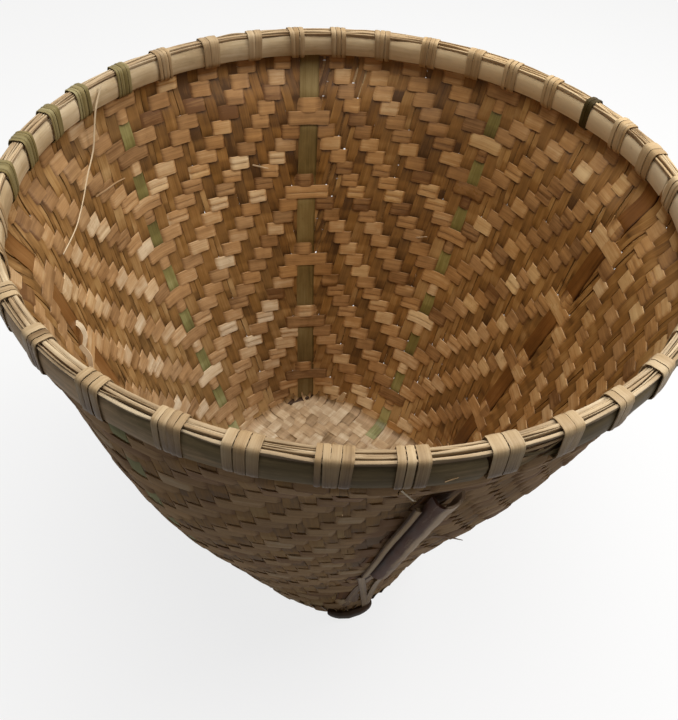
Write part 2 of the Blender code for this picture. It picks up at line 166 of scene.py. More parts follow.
def angle_at(side, arc, level):
    """Angle of the point that lies this far along the wall from the middle of a side."""
    middle = np.interp(45 + 90 * side, turns, arcs[level])
    return np.interp(middle + arc, arcs[level], turns)


def half_side(side, level, sign):
    """Length of the wall from the middle of a side to the corner before or after it."""
    ends = np.interp([45 + 90 * side, 45 + 90 * side + 45 * sign], turns, arcs[level])
    return abs(ends[1] - ends[0])


def stake_place(side, stake):
    """How far along the wall this stake of a side stands from the side's middle."""
    count = abs(stake)
    even = STAKE_PITCH * count - PITCH_LOSS * count * (count + 1)
    full = math.pi * SIDE_RADIUS[-1] / 4
    return math.copysign(even, stake) * half_side(side, 0, 1 if stake >= 0 else -1) / full


def last_stake(side, sign, level):
    """Number of stakes from the middle of a side that have not yet met the corner rib."""
    room = half_side(side, level, sign) - HALF_RIB
    places = [abs(stake_place(side, sign * n)) for n in range(1, STAKES_AT_RIM + 1)]
    return sum(place + STAKE_ROOM <= room for place in places)


def weft_inside(stake, row):
    """Whether a row passes inside this stake: two stakes inside, two outside, and so on."""
    return (abs(stake) + row) % REPEAT >= 2


def uprights(row):
    """Angle, and whether the weft passes inside, for each rib and stake that a row crosses."""
    level = row * STEPS + STEPS // 2
    crossed = []
    for side in range(4):
        crossed.append((90.0 * side, row % RIB_REPEAT in (5, 0)))
        before = last_stake(side, -1, level)
        after = last_stake(side, 1, level)
        for stake in range(-before, after + 1):
            inside = weft_inside(stake, row)
            from_rib = min(before + stake, after - stake)
            # Of the two rows that pass inside a rib, the upper goes inside the rib alone, and the
            # lower inside the stake at each side of it too.
            if row % RIB_REPEAT == 5 and from_rib == 0:
                inside = False
            if row % RIB_REPEAT == 0 and from_rib < 2:
                inside = from_rib == 0
            crossed.append((float(angle_at(side, stake_place(side, stake), level)), inside))
    return crossed + [(360.0, crossed[0][1])]


def tightness(angle, height):
    """Share of its width that a strip has here. Low down at the right the weave stands open."""
    low = eased((0.16 - height) / 0.06)
    right = eased((44 - np.abs(angle - 24)) / 22)
    front = eased((60 - np.abs(angle - 270)) / 20)
    return 1.04 - 0.07 * low * right + 0.025 * front


def lay_strip(sheet, lane, start, end, steps, across):
    """Lays a strip in the flat, along X from start to end and one unit wide, in its lane of Y."""
    middle = Matrix.Translation(((start + end) / 2, 2 * lane, 0))
    spread = middle @ Matrix.Diagonal((end - start, 1, 1, 1))
    bmesh.ops.create_grid(sheet, x_segments=steps, y_segments=across, size=0.5, matrix=spread)


def thicken(sheet):
    """Gives the flat strips one unit of thickness along Z, and keeps their long edges crisp."""
    made = bmesh.ops.extrude_face_region(sheet, geom=list(sheet.faces))["geom"]
    raised = [item for item in made if isinstance(item, bmesh.types.BMVert)]
    bmesh.ops.translate(sheet, verts=raised, vec=(0, 0, 1))
    bmesh.ops.recalc_face_normals(sheet, faces=sheet.faces)
    for edge in sheet.edges:
        edge.smooth = edge.calc_face_angle(0.0) < 1.0


def flat_points(sheet):
    """Each flat point's place along its strip and across it, its side, and its strip's number."""
    along, spread, raised = np.array([point.co for point in sheet.verts]).T
    lane = np.rint(spread / 2).astype(int)
    return along, spread - 2 * lane, raised, lane


def strips(lanes, across=2):
    """A sheet of strips, each laid by its lane, start, end and steps, and its points' measures."""
    sheet = bmesh.new()
    for lane, start, end, steps in lanes:
        lay_strip(sheet, lane, start, end, steps, across)
    thicken(sheet)
    return sheet, *flat_points(sheet)


def crowned(across):
    """1 along the middle of a strip and 0 at its edges."""
    return 1 - 4 * across * across


def grain_of(along, across, seed):
    """Where the fibres' pattern is read: along the strip, across it, and apart for each strip."""
    return np.stack([along, across, seed + 0 * across], axis=1)


def painted_shade_near_guard(angle, height):
    """Painted shade on the outside: the dark hollow just left of the guard, and the hollow where the
    outer hoop is missing.
    """
    guard = np.exp(-(((angle - 266.2) / 2.4) ** 2)) * eased((height - 0.13) / 0.06)
    guard = guard * eased((0.295 - height) / 0.04)
    hollow = eased((angle - 275.0) / 1.2) * eased((284.6 - angle) / 1.2) * (height > 0.346)
    return np.maximum(guard, hollow)


def smoke_and_light_at(places):
    """How brown the weave is here: most at the back and right, least low down at the left. Partly
    smoke, partly painted light: warmer on the shaded walls, paler where direct light falls.
    """
    low = eased((0.26 - places[:, 2]) / 0.22)
    left = eased((0.06 - places[:, 0]) / 0.24)
    front = eased((-0.02 - places[:, 1]) / 0.20)
    back = eased((places[:, 1] - 0.12) / 0.06)
    left = left * (1 - 0.80 * back)
    return np.clip(0.95 - 0.80 * left * (0.45 + 0.55 * low) - 0.2 * front - 0.15 * low, 0, 1)


def painted_back_shade(places):
    """Painted shade: how much darker the strips are here, where the back walls lie out of the light.
    Just left of the back corner they are darkest.
    """
    back = eased((places[:, 1] - 0.13) / 0.05)
    low = eased((0.07 - places[:, 2]) / 0.05)
    return back * (0.08 + 0.13 * eased((0.02 - places[:, 0]) / 0.03)) * (1 - low)


def finished(name, sheet, places, finish, **marks):
    """Moves the points to their places and makes the piece, with one attribute for each mark."""
    for point, place in zip(sheet.verts, places):
        point.co = place
    bmesh.ops.recalc_face_normals(sheet, faces=sheet.faces)
    for face in sheet.faces:
        face.smooth = True
    mesh = bpy.data.meshes.new(name)
    sheet.to_mesh(mesh)
    sheet.free()
    marks.setdefault("smoked", smoke_and_light_at(np.array(places)))
    for mark, values in marks.items():
        values = np.asarray(values, dtype=np.float32)
        kind, key = ("FLOAT", "value") if values.ndim == 1 else ("FLOAT_VECTOR", "vector")
        mesh.attributes.new(mark, kind, "POINT").data.foreach_set(key, values.ravel())
    mesh.materials.append(finish)
    piece = bpy.data.objects.new(name, mesh)
    bpy.context.scene.collection.objects.link(piece)
    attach(piece, "root")
    return piece


def linear(colour):
    """A colour read as 0 to 255 by eye, as the shader takes it."""
    return tuple((value / 255) ** 2.2 for value in colour) + (1.0,)


class Signal:
    """A value in a material's nodes. Arithmetic on it adds the Math nodes."""

    def __init__(self, tree, socket):
        self.tree = tree
        self.socket = socket

    def node(self, kind, settings=None, inputs=None, output=0):
        """Adds any other node: its settings first, then the values or links of its sockets."""
        made = self.tree.nodes.new(kind)
        for setting, value in (settings or {}).items():
            if setting == "stops":
                ramp = made.color_ramp.elements
                while len(ramp) < len(value):
                    ramp.new(0.5)
                for stop, (position, colour) in zip(ramp, value):
                    stop.position = position
                    stop.color = colour
            else:
                setattr(made, setting, value)
        for key, value in (inputs or {}).items():
            if isinstance(value, Signal):
                self.tree.links.new(value.socket, made.inputs[key])
            else:
                made.inputs[key].default_value = value
        return Signal(self.tree, made.outputs[output])

    def mark(self, name, output="Fac"):
        """What the piece's points carry under this name."""
        return self.node("ShaderNodeAttribute", {"attribute_name": name}, output=output)

    def math(self, operation, first, second):
        """Adds a Math node with two inputs."""
        return self.node("ShaderNodeMath", {"operation": operation}, {0: first, 1: second})

    def __add__(self, other):
        return self.math("ADD", self, other)

    def __sub__(self, other):
        return self.math("SUBTRACT", self, other)

    def __rsub__(self, other):
        return self.math("SUBTRACT", other, self)

    def __mul__(self, other):
        return self.math("MULTIPLY", self, other)

    __radd__ = __add__
    __rmul__ = __mul__

    def noise(self, scale, detail=3.0, roughness=0.5):
        """Smooth noise from 0 to 1 at this vector."""
        inputs = {"Vector": self, "Scale": scale, "Detail": detail, "Roughness": roughness}
        return self.node("ShaderNodeTexNoise", {"noise_dimensions": "3D"}, inputs)

    def stretched(self, x, y, z):
        """This vector, scaled along each axis."""
        return self.node("ShaderNodeMapping", {}, {"Vector": self, "Scale": (x, y, z)})

    def between(self, low, high):
        """This value, spread so that low becomes 0 and high becomes 1, and held there."""
        inputs = {"Value": self, "From Min": low, "From Max": high}
        return self.node("ShaderNodeMapRange", {"clamp": True}, inputs)

    def mixed(self, first, second):
        """Goes from the first colour to the second as this value goes from 0 to 1."""
        inputs = {0: self, 6: first, 7: second}
        return self.node("ShaderNodeMix", {"data_type": "RGBA"}, inputs, output=2)


def new_finish(name):
    """A material with its shader, and a signal that more nodes are made from."""
    finish = bpy.data.materials.new(name)
    finish.use_nodes = True
    shader = finish.node_tree.nodes["Principled BSDF"]
    return finish, shader, Signal(finish.node_tree, None)


def split_bamboo(name, dark, mid, light, roughness=0.55, fibres=900.0, relief=0.25, gloss=0.3):
    """Split bamboo: fine fibres along the strip, patches of tone, stains, and a dull waxy sheen.

    tone, made with each strip, picks its colour between dark and light, and shine its polish.
    The tint mark goes from 0, pale and cool, to 1, warm brown. It is partly the brown of
    hearth smoke and age, and partly painted light: paler where direct light falls, warmer in shade.
    """
    dark, mid, light = linear(dark), linear(mid), linear(light)
    finish, shader, any_node = new_finish(name)
    grain = any_node.mark("grain", "Vector")
    tone = any_node.mark("tone")
    shine = any_node.mark("shine")
    smoked = any_node.mark("smoked")
    fibre = grain.stretched(30.0, fibres, 3.0).noise(1.0, 4.0, 0.6)
    streak = grain.stretched(12.0, fibres / 4, 5.0).noise(1.0, 2.0, 0.5)
    patch = grain.stretched(60.0, 90.0, 9.0).noise(1.0, 3.0, 0.6)
    stain = grain.stretched(150.0, 260.0, 4.0).noise(1.0, 2.0, 0.5).between(0.66, 0.80)
    picked = tone + (fibre - 0.5) * 0.55 + (streak - 0.5) * 0.5 + (patch - 0.5) * 0.45
    stops = [(0.0, dark), (0.5, mid), (1.0, light)]
    body = any_node.node("ShaderNodeValToRGB", {"stops": stops}, {"Fac": picked})
    stained = (stain * 0.3).mixed(body, dark)
    hue = grain.stretched(4.0, 0.0, 17.0).noise(1.0, 1.0, 0.5)
    tint = (smoked + (hue - 0.5) * 0.9).mixed((1.05, 1.15, 1.38, 1), (1.0, 0.86, 0.63, 1))
    settings = {"data_type": "RGBA", "blend_type": "MULTIPLY"}
    colour = any_node.node("ShaderNodeMix", settings, {0: 1.0, 6: stained, 7: tint}, output=2)
    shader.inputs["Specular IOR Level"].default_value = gloss
    tree = finish.node_tree
    tree.links.new(colour.socket, shader.inputs["Base Color"])
    worn = patch * 0.2 - shine * 0.30 + (roughness - 0.1)
    tree.links.new(worn.socket, shader.inputs["Roughness"])
    height = fibre * 0.6 + streak * 0.4
    inputs = {"Height": height, "Strength": relief, "Distance": 0.0004}
    bump = any_node.node("ShaderNodeBump", {}, inputs)
    tree.links.new(bump.socket, shader.inputs["Normal"])
    return finish


chance = np.random.default_rng(7)
rows = [uprights(row) for row in range(ROWS)]
weft_finish = split_bamboo("weft_bamboo", (98, 68, 38), (168, 132, 90), (214, 192, 154), gloss=0.35)
lanes = []
sheets = {"weft_upper": [], "weft_lower": []}
for row, crossed in enumerate(rows):
    # Each row is four strips, laid end to end.
    outside = [k for k, (angle, inside) in enumerate(crossed) if not inside]
    ends = [0, len(crossed) - 1]
    for share in chance.uniform((0.1, 0.4, 0.7), (0.3, 0.6, 0.9)):
        ends.insert(-1, outside[int(share * len(outside))])
    for start, end in zip(ends, ends[1:]):
        twin = chance.random() < 0.16
        tone = chance.normal(0.5, 0.10)
        parts = ((-TWIN_SHIFT, 0.49), (TWIN_SHIFT, 0.48)) if twin else ((0.0, 1.0),)
        for shift, width in parts:
            half = sheets["weft_upper" if row < UPPER_ROWS else "weft_lower"]
            half.append((len(lanes), start, end, STEPS * (end - start)))
            lanes.append((row, shift, width, tone + chance.normal(0, 0.04)))
lanes = np.array(lanes)
most = max(len(crossed) for crossed in rows)
padded = [crossed + [(360.0, False)] * (most - len(crossed)) for crossed in rows]
angles = np.array([[angle for angle, inside in crossed] for crossed in padded])
states = np.array([[-1.0 if inside else 1.0 for angle, inside in crossed] for crossed in padded])
# A float is the stretch of a row that stays on one side. Here is which one each crossing is in.
floats = np.cumsum(np.abs(np.diff(states, axis=1, prepend=states[:, :1])) > 0, axis=1)
float_tone = chance.normal(0, 0.13, (ROWS, most))
float_gloss_and_highlight = (chance.random((ROWS, most)) < 0.22) * chance.uniform(0.4, 1.0, (ROWS, most))
float_lift = chance.normal(0, 0.00022, (ROWS, most))
wander = chance.normal(0, 0.00020, (ROWS, most))
swell = chance.normal(0, 0.03, (ROWS, most))


def between_columns(table, row, column, share):
    """Value in a row of a table, this share of the way from a column to the next."""
    return table[row, column] * (1 - share) + table[row, column + 1] * share


for name, half in sheets.items():
    sheet, along, across, raised, lane = strips(half)
    row = lanes[lane, 0].astype(int)
    upright = np.clip(np.floor(along + 1e-4).astype(int), 0, most - 2)
    share = along - upright
    float_number = floats[row, np.rint(along).astype(int)]
    angle = between_columns(angles, row, upright, share)
    state = between_columns(states, row, upright, eased(2 * share - 0.5))
    height = WEAVE_TOP - ROW * (row + 0.5)
    width = WEFT_WIDTH * lanes[lane, 2] * tightness(angle, height)
    width = width * (1 + between_columns(swell, row, upright, eased(share)))
    height = height - ROW * lanes[lane, 1] + between_columns(wander, row, upright, eased(share))
    height = np.minimum(height - across * width, WALL_TOP - 0.0006)
    bow = WEFT_BOW + WEFT_CROWN * crowned(across) + float_lift[row, float_number]
    bow = bow + WEFT_TILT * across
    places = on_wall(angle, height, state * bow + (raised - 0.5) * WEFT_THICKNESS)

    # The outside has lost its shine and is darkened as painted shade, deepest in the hollow beside
    # the guard. Each strip and each float has a tone of its own, and is darker where it dives under a
    # stake, as painted shade.
    outside_dull_and_shaded = (raised > 0.5) * 1.0
    shine = float_gloss_and_highlight[row, float_number] * (1 - outside_dull_and_shaded) - 0.9 * outside_dull_and_shaded
    left = eased((0.02 - places[:, 0]) / 0.08) * eased((places[:, 1] + 0.02) / 0.08)
    # Painted light and shade: each strip is paler along its crown and darker at its edges.
    tone = lanes[lane, 3] + float_tone[row, float_number] + 0.10 * (0.5 - np.abs(across))
    tone = tone - 0.26 * (1 - np.abs(state)) - painted_back_shade(places)
    # Painted shade: the walls at the right are darker.
    tone = tone - 0.08 * eased((places[:, 0] - 0.02) / 0.10)
    tone = tone + 0.14 * eased((0.05 - height) / 0.03)
    # Painted highlight: shiny floats are paler along their middles, most at the left and back.
    middle = 0.5 + 0.5 * crowned(across)
    tone = tone + (0.12 + 0.26 * left) * shine * middle * (1 - outside_dull_and_shaded)
    tone = tone - 0.11 * eased((-0.10 - places[:, 0]) / 0.08) * (1 - outside_dull_and_shaded)
    tone = tone - outside_dull_and_shaded * (0.20 + 0.8 * painted_shade_near_guard(angle, height))
    # Painted highlight: the shiny floats at the left are also paler in tint.
    smoked = (smoke_and_light_at(places) - 0.25 * left * (shine > 0)) * (1 - outside_dull_and_shaded) + 0.12 * outside_dull_and_shaded
    grain = grain_of(np.radians(angle) * 0.2, across * width, lane * 0.37)
    weft = finished(
        name, sheet, places, weft_finish, tone=tone, shine=shine, grain=grain, smoked=smoked
    )
    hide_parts("woven_wall")


# The stakes: flat strips that come up from the base and stand side by side to the rim. The
# middle one of each side is the widest and still has its green skin. Towards the corners a stake
# ends where it meets the corner rib.
STAKE_WIDTH = 0.0106
STAKE_THICKNESS = 0.0009
STAKE_BOW = 0.00035
STAKE_CROWN = 0.0002
NARROWING = 0.00020
stake_finish = split_bamboo("stake_bamboo", (72, 50, 24), (132, 98, 56), (172, 140, 94))
green_finish = split_bamboo("green_bamboo", (74, 66, 36), (120, 114, 68), (160, 156, 108), 0.5)


def stake_lanes(side, stake):
    """The strands of one stake, as lists of side, stake, shift, width and last quarter row."""
    sign = 1 if stake >= 0 else -1
    place = abs(stake_place(side, stake))
    ends = LEVELS
    for level in range(0, LEVELS + 1, 2):
        if place > half_side(side, level, sign) - STAKE_ROOM:
            ends = level
            break
    if stake and chance.random() < 0.3:
        return [(side, stake, shift, 0.48, ends) for shift in (-TWIN_SHIFT, TWIN_SHIFT)]
    return [(side, stake, 0.0, 1.0, ends)]


stands = []
for side in range(4):
    for stake in range(-STAKES_AT_RIM, STAKES_AT_RIM + 1):
        stands += stake_lanes(side, stake)
stands = np.array(stands)
stake_tone = chance.normal(0.5, 0.10, len(stands))
stake_patch = chance.normal(0, 0.11, (len(stands), ROWS + 2))
stake_wander = chance.normal(0, 0.00020, (len(stands), ROWS + 2))
stake_shine = (chance.random(len(stands)) < 0.12) * 0.5
stake_centre = np.array([stake_place(int(side), int(stake)) for side, stake in stands[:, :2]])

for name, finish, green, sides in (
    ("wall_stakes_back", stake_finish, False, (0, 1)),
    ("wall_stakes_front", stake_finish, False, (2, 3)),
    ("green_stakes", green_finish, True, (0, 1, 2, 3)),
):
    sheet, along, across, raised, lane = strips([
        (lane, 1, ends, int(ends) - 1)
        for lane, (side, stake, shift, width, ends) in enumerate(stands)
        if (stake == 0) == green and side in sides
    ])
    level = np.clip(np.rint(along).astype(int), 0, LEVELS)
    quarter = level / STEPS - 0.5
    row = np.clip(np.floor(quarter).astype(int), 0, ROWS - 2)
    share = np.clip(quarter - row, 0, 1)
    stake = np.abs(stands[lane, 1].astype(int))
    here = np.where(weft_inside(stake, row), 1.0, -1.0)
    after = np.where(weft_inside(stake, row + 1), 1.0, -1.0)
    bow = here * (1 - eased(share)) + after * eased(share)
    width = (STAKE_WIDTH - NARROWING * stake) * stands[lane, 3]
    drift = stake_wander[lane, row] * (1 - share) + stake_wander[lane, row + 1] * share
    rough = 45.0 + 90.0 * stands[lane, 0] + np.degrees(stake_centre[lane] / 0.18)
    # The halves of a split stake lie closer together round the front.
    closer = NARROWING * stake * (np.abs(rough - 270) < 60)
    arc = stake_centre[lane] + stands[lane, 2] * (STAKE_WIDTH - closer) + drift
    arc = arc + across * width + across * width * (tightness(rough, heights[level]) - 1)
    angle = np.empty(len(along))
    for one in np.unique(level):
        for side in sides:
            here = (level == one) & (stands[lane, 0] == side)
            angle[here] = angle_at(side, arc[here], one)
    height = np.minimum(heights[level], WALL_TOP - 0.0004)
    out = bow * STAKE_BOW + np.sign(bow) * STAKE_CROWN * crowned(across)
    places = on_wall(angle, height, out + (raised - 0.5) * STAKE_THICKNESS)

    outside_dull_and_shaded = (raised > 0.5) * 1.0
    shine = stake_shine[lane] * (1 - outside_dull_and_shaded) - 0.9 * outside_dull_and_shaded
    tone = stake_tone[lane] + stake_patch[lane, row + (share > 0.5)]
    # Dirt and painted shade: a stake is darker where it passes under the weft.
    tone = tone + 0.45 * eased((0.07 - height) / 0.05) - 0.25 * (1 - np.abs(bow))
    # Painted shade: darker at the back walls and on the outside, deepest beside the guard.
    tone = tone - painted_back_shade(places) - outside_dull_and_shaded * (0.12 + 0.8 * painted_shade_near_guard(angle, height))
    smoked = smoke_and_light_at(places) * (1 - outside_dull_and_shaded) + 0.12 * outside_dull_and_shaded
    grain = grain_of(height, across * width, lane * 0.53)
    stakes = finished(
        name, sheet, places, finish, tone=tone, shine=shine, grain=grain, smoked=smoked
    )
    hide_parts("woven_wall")


# The corner ribs: broad splints of darker outer culm that stiffen the four corners. They are
# woven in as the stakes are, but the weft covers them only in pairs of rows.
RIB_WIDTH = 2 * HALF_RIB
RIB_THICKNESS = 0.0014
RIB_FROM = 3
CORNERS = ("right", "back", "left", "front")
rib_finish = split_bamboo(
    "rib_bamboo", (66, 42, 20), (118, 82, 46), (148, 112, 72), 0.5, 700.0, gloss=0.15
)
olive_rib_finish = split_bamboo(
    "olive_rib_bamboo", (66, 54, 28), (110, 94, 61), (142, 128, 92), 0.5, 700.0, gloss=0.15
)
for quarter, name in enumerate(CORNERS):
    sheet, along, across, raised, lane = strips([(quarter, RIB_FROM, LEVELS, LEVELS - RIB_FROM)], 8)
    level = np.clip(np.rint(along).astype(int), 0, LEVELS)
    centre = level / STEPS - 0.5
    row = np.floor(centre).astype(int)
    share = eased(2 * (centre - row) - 0.5)
    here = np.isin(row % RIB_REPEAT, (5, 0))
    after = np.isin((row + 1) % RIB_REPEAT, (5, 0))
    covered = here * (1 - share) + after * share
    height = np.minimum(heights[level], WALL_TOP - 0.0004)
    radius = through(LEVEL_Z, CORNER_RADIUS, height)
    angle = 90.0 * quarter + np.degrees(across * RIB_WIDTH / radius)
    out = -0.0007 + 0.0010 * covered + 0.0003 * 4 * across * across
    places = on_wall(angle, height, out + (raised - 0.5) * RIB_THICKNESS)

    outside_dull_and_shaded = (raised > 0.5) * 1.0
    shine = 0.25 - 1.2 * outside_dull_and_shaded
    tone = chance.normal(0.45, 0.05) + 0.12 * np.sin(height * 60 + quarter)
    # Painted shadow along the rib's one edge, and painted shade on its outside.
    tone = tone - 0.45 * eased((0.09 - (across + 0.5)) / 0.07) - 0.35 * outside_dull_and_shaded
    grain = grain_of(height, across * RIB_WIDTH, quarter * 1.7)
    finish = olive_rib_finish if name == "back" else rib_finish
    rib = finished(f"rib_{name}", sheet, places, finish, tone=tone, shine=shine, grain=grain)
    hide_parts(f"corner_rib_{name}")


# The base: the stakes of opposite sides turn in from the wall and run straight across, through
# those of the other two, in a twill of diamonds. The strips are pale straw here, where they were
# never smoked or handled, and the green ones keep their colour for a little way.
FLOOR_MIDDLE = 0.0085
FLOOR_BOW = 0.0008
FLOOR_CROWN = 0.0005
FLOOR_STAKES = 9
FLOOR_WIDTH = 0.0112
TURN_FROM = 0.0190
TURN_INWARD = 0.0090
TURN_STEPS = 4
FLOOR_STEPS = 40
FLOOR_THICKNESS = 0.0008
LAST_STEP = 2 * TURN_STEPS + FLOOR_STEPS
GREEN_END = TURN_STEPS + 3
straw_finish = split_bamboo("straw_bamboo", (100, 76, 46), (166, 136, 98), (208, 186, 148), 0.6)


def turn_in(side, stake):
    """Three points of a stake's turn: on the wall, at the wall's foot and where it lies flat."""
    across_from = (side + 2) % 4
    angle = float(angle_at(side, stake_place(side, stake), LEVELS))
    far_angle = float(angle_at(across_from, stake_place(across_from, -stake), LEVELS))
    angles_here = np.array([angle, angle, far_angle])
    heights_here = np.array([TURN_FROM, FLOOR_MIDDLE, FLOOR_MIDDLE])
    high, foot, opposite = on_wall(angles_here, heights_here, np.array([0.0012, 0.0002, 0.0002]))
    inward = (opposite - foot) / np.linalg.norm(opposite - foot)
    return high, foot, foot + inward * TURN_INWARD


def laid_flat(first, stake):
    """Ends of the straight part of a base strip."""
    return turn_in(first, stake)[2], turn_in(first + 2, -stake)[2]


floor_lines = [
    (first, stake) for first in (0, 1) for stake in range(-FLOOR_STAKES, FLOOR_STAKES + 1)
]
floor_tone = chance.normal(0.5, 0.13, len(floor_lines))
floor_patch = chance.normal(0, 0.10, (len(floor_lines), LAST_STEP + 1))
floor_crossings = []
for turn in (0, 1):
    floor_crossings.append([(n, *laid_flat(turn, n)) for f, n in floor_lines if f == turn])
for name, finish, green in (
    ("base_strips", straw_finish, False),
    ("base_green_ends", green_finish, True),
):
    laid = []
    for number, (first, stake) in enumerate(floor_lines):
        if green and stake == 0:
            laid.append((number, 0, GREEN_END, 3 * GREEN_END))
            laid.append((number, LAST_STEP - GREEN_END, LAST_STEP, 3 * GREEN_END))
        elif not green:
            start = GREEN_END if stake == 0 else 0
            laid.append((number, start, LAST_STEP - start, 3 * (LAST_STEP - 2 * start)))
    sheet, along, across, raised, lane = strips(laid)
    first = np.array([line[0] for line in floor_lines])[lane]
    stake = np.array([line[1] for line in floor_lines])[lane]
    corners = np.array([[*turn_in(f, n), *turn_in(f + 2, -n)[::-1]] for f, n in floor_lines])[lane]
    # Each strip turns in off the wall on a bend, along which turned goes from 0 to 1, then runs
    # straight across and turns up on a bend again.
    first_half = (along < LAST_STEP / 2)[:, None]
    turned = np.clip(np.minimum(along, LAST_STEP - along) / TURN_STEPS, 0, 1)[:, None]
    high = np.where(first_half, corners[:, 0], corners[:, 5])
    foot = np.where(first_half, corners[:, 1], corners[:, 4])
    level_end = np.where(first_half, corners[:, 2], corners[:, 3])
    bend = (1 - turned) ** 2 * high + 2 * turned * (1 - turned) * foot + turned ** 2 * level_end
    share = np.clip((along - TURN_STEPS) / FLOOR_STEPS, 0, 1)[:, None]
    straight = corners[:, 2] + (corners[:, 3] - corners[:, 2]) * share
    middle = np.where(turned < 1, bend, straight)
    forward = corners[:, 3] - corners[:, 2]
    forward = forward / np.linalg.norm(forward, axis=1)[:, None]
    aside = np.stack([-forward[:, 1], forward[:, 0], 0 * across], axis=1)
    # It goes over or under the strip of the other two sides that lies nearest to each point.
    bow = np.zeros(len(along))
    for turn in (0, 1):
        mine = first == turn
        passed = np.zeros((mine.sum(), len(floor_crossings[1 - turn])))
        for n, (other, line_start, line_end) in enumerate(floor_crossings[1 - turn]):
            line = line_end - line_start
            normal = np.array([-line[1], line[0], 0]) / np.linalg.norm(line)
            passed[:, n] = (middle[mine] - line_start) @ normal
        nearest = np.abs(passed).argmin(axis=1)
        others = np.array([entry[0] for entry in floor_crossings[1 - turn]])
        count = np.abs(stake[mine]) + np.abs(others[nearest])
        over = np.where(count % REPEAT < 2, 1.0, -1.0)
        bow[mine] = over if turn == 0 else -over
    order = np.lexsort((along, across, raised, lane))
    smooth = bow[order].copy()
    for repeat in range(2):
        smooth[1:-1] = (smooth[:-2] + smooth[1:-1] + smooth[2:]) / 3
    bow[order] = smooth
    bow = bow * eased(turned[:, 0])
    places = middle + aside * (across * FLOOR_WIDTH)[:, None]
    crown = FLOOR_CROWN * crowned(across)
    places[:, 2] += bow * (FLOOR_BOW + crown) + (raised - 0.5) * FLOOR_THICKNESS
    wall_part = 1 - turned[:, 0]
    tone = floor_tone[lane] + floor_patch[lane, along.astype(int)]
    # Painted shade: darker where a strip dives under another.
    tone = tone - 0.28 * (1 - np.abs(bow)) * (turned[:, 0] == 1) - 0.50 * wall_part
    grain = grain_of(along * 0.005, across * FLOOR_WIDTH, lane * 0.71)
    smoked = 0.14 + 0.55 * wall_part + 0.15 * eased((places[:, 0] + 0.02) / 0.1)
    base = finished(
        name, sheet, places, finish, tone=tone, shine=0.2 + 0 * tone, grain=grain, smoked=smoked
    )
    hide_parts("woven_base")


# The two rim hoops: long splints bent to a ring that clamp the wall's edge between them. The
# inner one is one beige splint. The outer one is a dark half-round splint whose end was cut, and
# past the cut it is missing.
INNER_FACE = 0.2200
INNER_BACK = 0.2235
OUTER_BACK = 0.2262
OUTER_FACE = 0.2304
HOOP_BOTTOM = 0.3472
HOOP_TOP = WALL_TOP
OUTER_START = 296.0
OUTER_SPAN = 348.6
OUTER_LOWER = 0.0010
OUTER_DROP = 0.0026
TIP_STEPS = 3
inner_finish = split_bamboo(
    "inner_hoop_bamboo", (122, 96, 64), (178, 151, 110), (216, 193, 152), 0.6, 500.0, gloss=0.2
)
outer_finish = split_bamboo(
    "outer_hoop_bamboo", (62, 52, 35), (120, 102, 71), (216, 178, 132), 0.6, 500.0, gloss=0.06
)


def rim_smoke_and_light(places):
    """The rim stayed paler than the weave. It is browner at the back and right, partly from smoke and
    partly as painted shade.
    """
    return 0.16 + 0.30 * eased((places[:, 0] + 0.10) / 0.25) * eased((places[:, 1] + 0.10) / 0.2)


def rim_painted_light(azimuth):
    """Painted light: how much paler the rim's face is made at the right, where more light falls on
    it.
    """
    from_right = np.abs((azimuth - 15 + 180) % 360 - 180)
    return eased((85 - from_right) / 50)


def rim_drop(azimuth):
    """How much lower the outer hoop hangs at the left, where its splint is broadest."""
    return OUTER_DROP * eased((52 - np.abs(azimuth % 360 - 205)) / 25)


def round_rim(turn, radius, height):
    """Points round the mouth's axis."""
    return np.stack([radius * np.cos(turn), radius * np.sin(turn), height], axis=1)


def hoop(name, start, span, face, back, finish, tone_of):
    """A splint bent round the rim. Its face is crowned and a little wavy, its tips rounded."""
    steps = round(span)
    sheet, along, across, raised, lane = strips([(0, 0, steps, steps)], 6)
    azimuth = start + span * along / steps
    turn = np.radians(azimuth)
    bottom = HOOP_BOTTOM - (OUTER_LOWER + rim_drop(azimuth) if face > back else 0)
    height = (bottom + HOOP_TOP) / 2 + across * (HOOP_TOP - bottom)
    from_edge = 2 * np.abs(across)
    crown = np.where(across > 0, 0.0021, 0.0009) * from_edge ** 2.6
    inward = 1 if face < back else -1
    front = face + inward * crown + 0.00035 * np.sin(9 * turn) + 0.0002 * np.sin(31 * turn + 1)
    radius = np.where(raised > 0.5, front, back)
    tip = np.clip(1 - np.minimum(along, steps - along) / TIP_STEPS, 0, 1) * from_edge ** 2
    turn = turn - np.sign(along - steps / 2) * tip * 0.012
    places = round_rim(turn, radius, height)
    grain = grain_of(turn * 0.22, across * 0.017, face * 9)
    tone = tone_of(azimuth % 360) + 0.12 * across * inward
    smoked = rim_smoke_and_light(places)
    return finished(
        name, sheet, places, finish, tone=tone, shine=0.3 + 0 * tone, grain=grain, smoked=smoked
    )


def inner_tone(azimuth):
    """Rippled a little, and paler at the right as painted light."""
    ripple = 0.08 * np.sin(np.radians(5 * azimuth)) + 0.05 * np.sin(np.radians(17 * azimuth))
    return 0.60 + ripple + 0.55 * rim_painted_light(azimuth)


def outer_tone(azimuth):
    """Paler at the left, where more light and hands reached it."""
    paler = eased((72 - np.abs(azimuth - 188)) / 32)
    return 0.42 + 0.40 * paler + 0.05 * np.sin(np.radians(13 * azimuth))


inner = hoop("rim_hoop_inner", 5.0, 359.9, INNER_FACE, INNER_BACK, inner_finish, inner_tone)
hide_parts("inner_hoop")
outer = hoop(
    "rim_hoop_outer", OUTER_START, OUTER_SPAN, OUTER_FACE, OUTER_BACK, outer_finish, outer_tone
)
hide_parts("outer_hoop")


